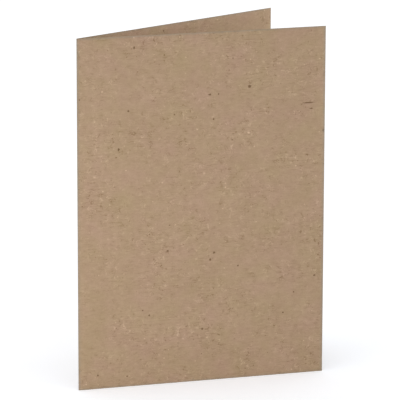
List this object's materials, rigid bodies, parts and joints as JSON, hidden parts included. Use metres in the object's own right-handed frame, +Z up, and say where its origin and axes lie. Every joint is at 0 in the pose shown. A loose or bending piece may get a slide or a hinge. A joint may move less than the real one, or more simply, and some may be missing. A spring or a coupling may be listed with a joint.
{
  "type": "folded card",
  "caption": "Plain kraft card folded across its middle into equal front and back panels, standing upright on its bottom edges, slightly open.",
  "frame": {"origin": "on the surface the card stands on, at the middle of the rectangle that it covers", "axes": "+Z up along the fold; -Y out of the front panel, which lies along X with the fold at its -X side; the back panel opens away from it towards +Y"},
  "size_m": [0.127, 0.0542, 0.1778],
  "materials": {
    "kraft_card": "uncoated matt kraft with fine horizontal fibres and a few dark specks"
  },
  "bodies": {
    "root": {"folded_card": "kraft_card"}
  },
  "joints": []
}
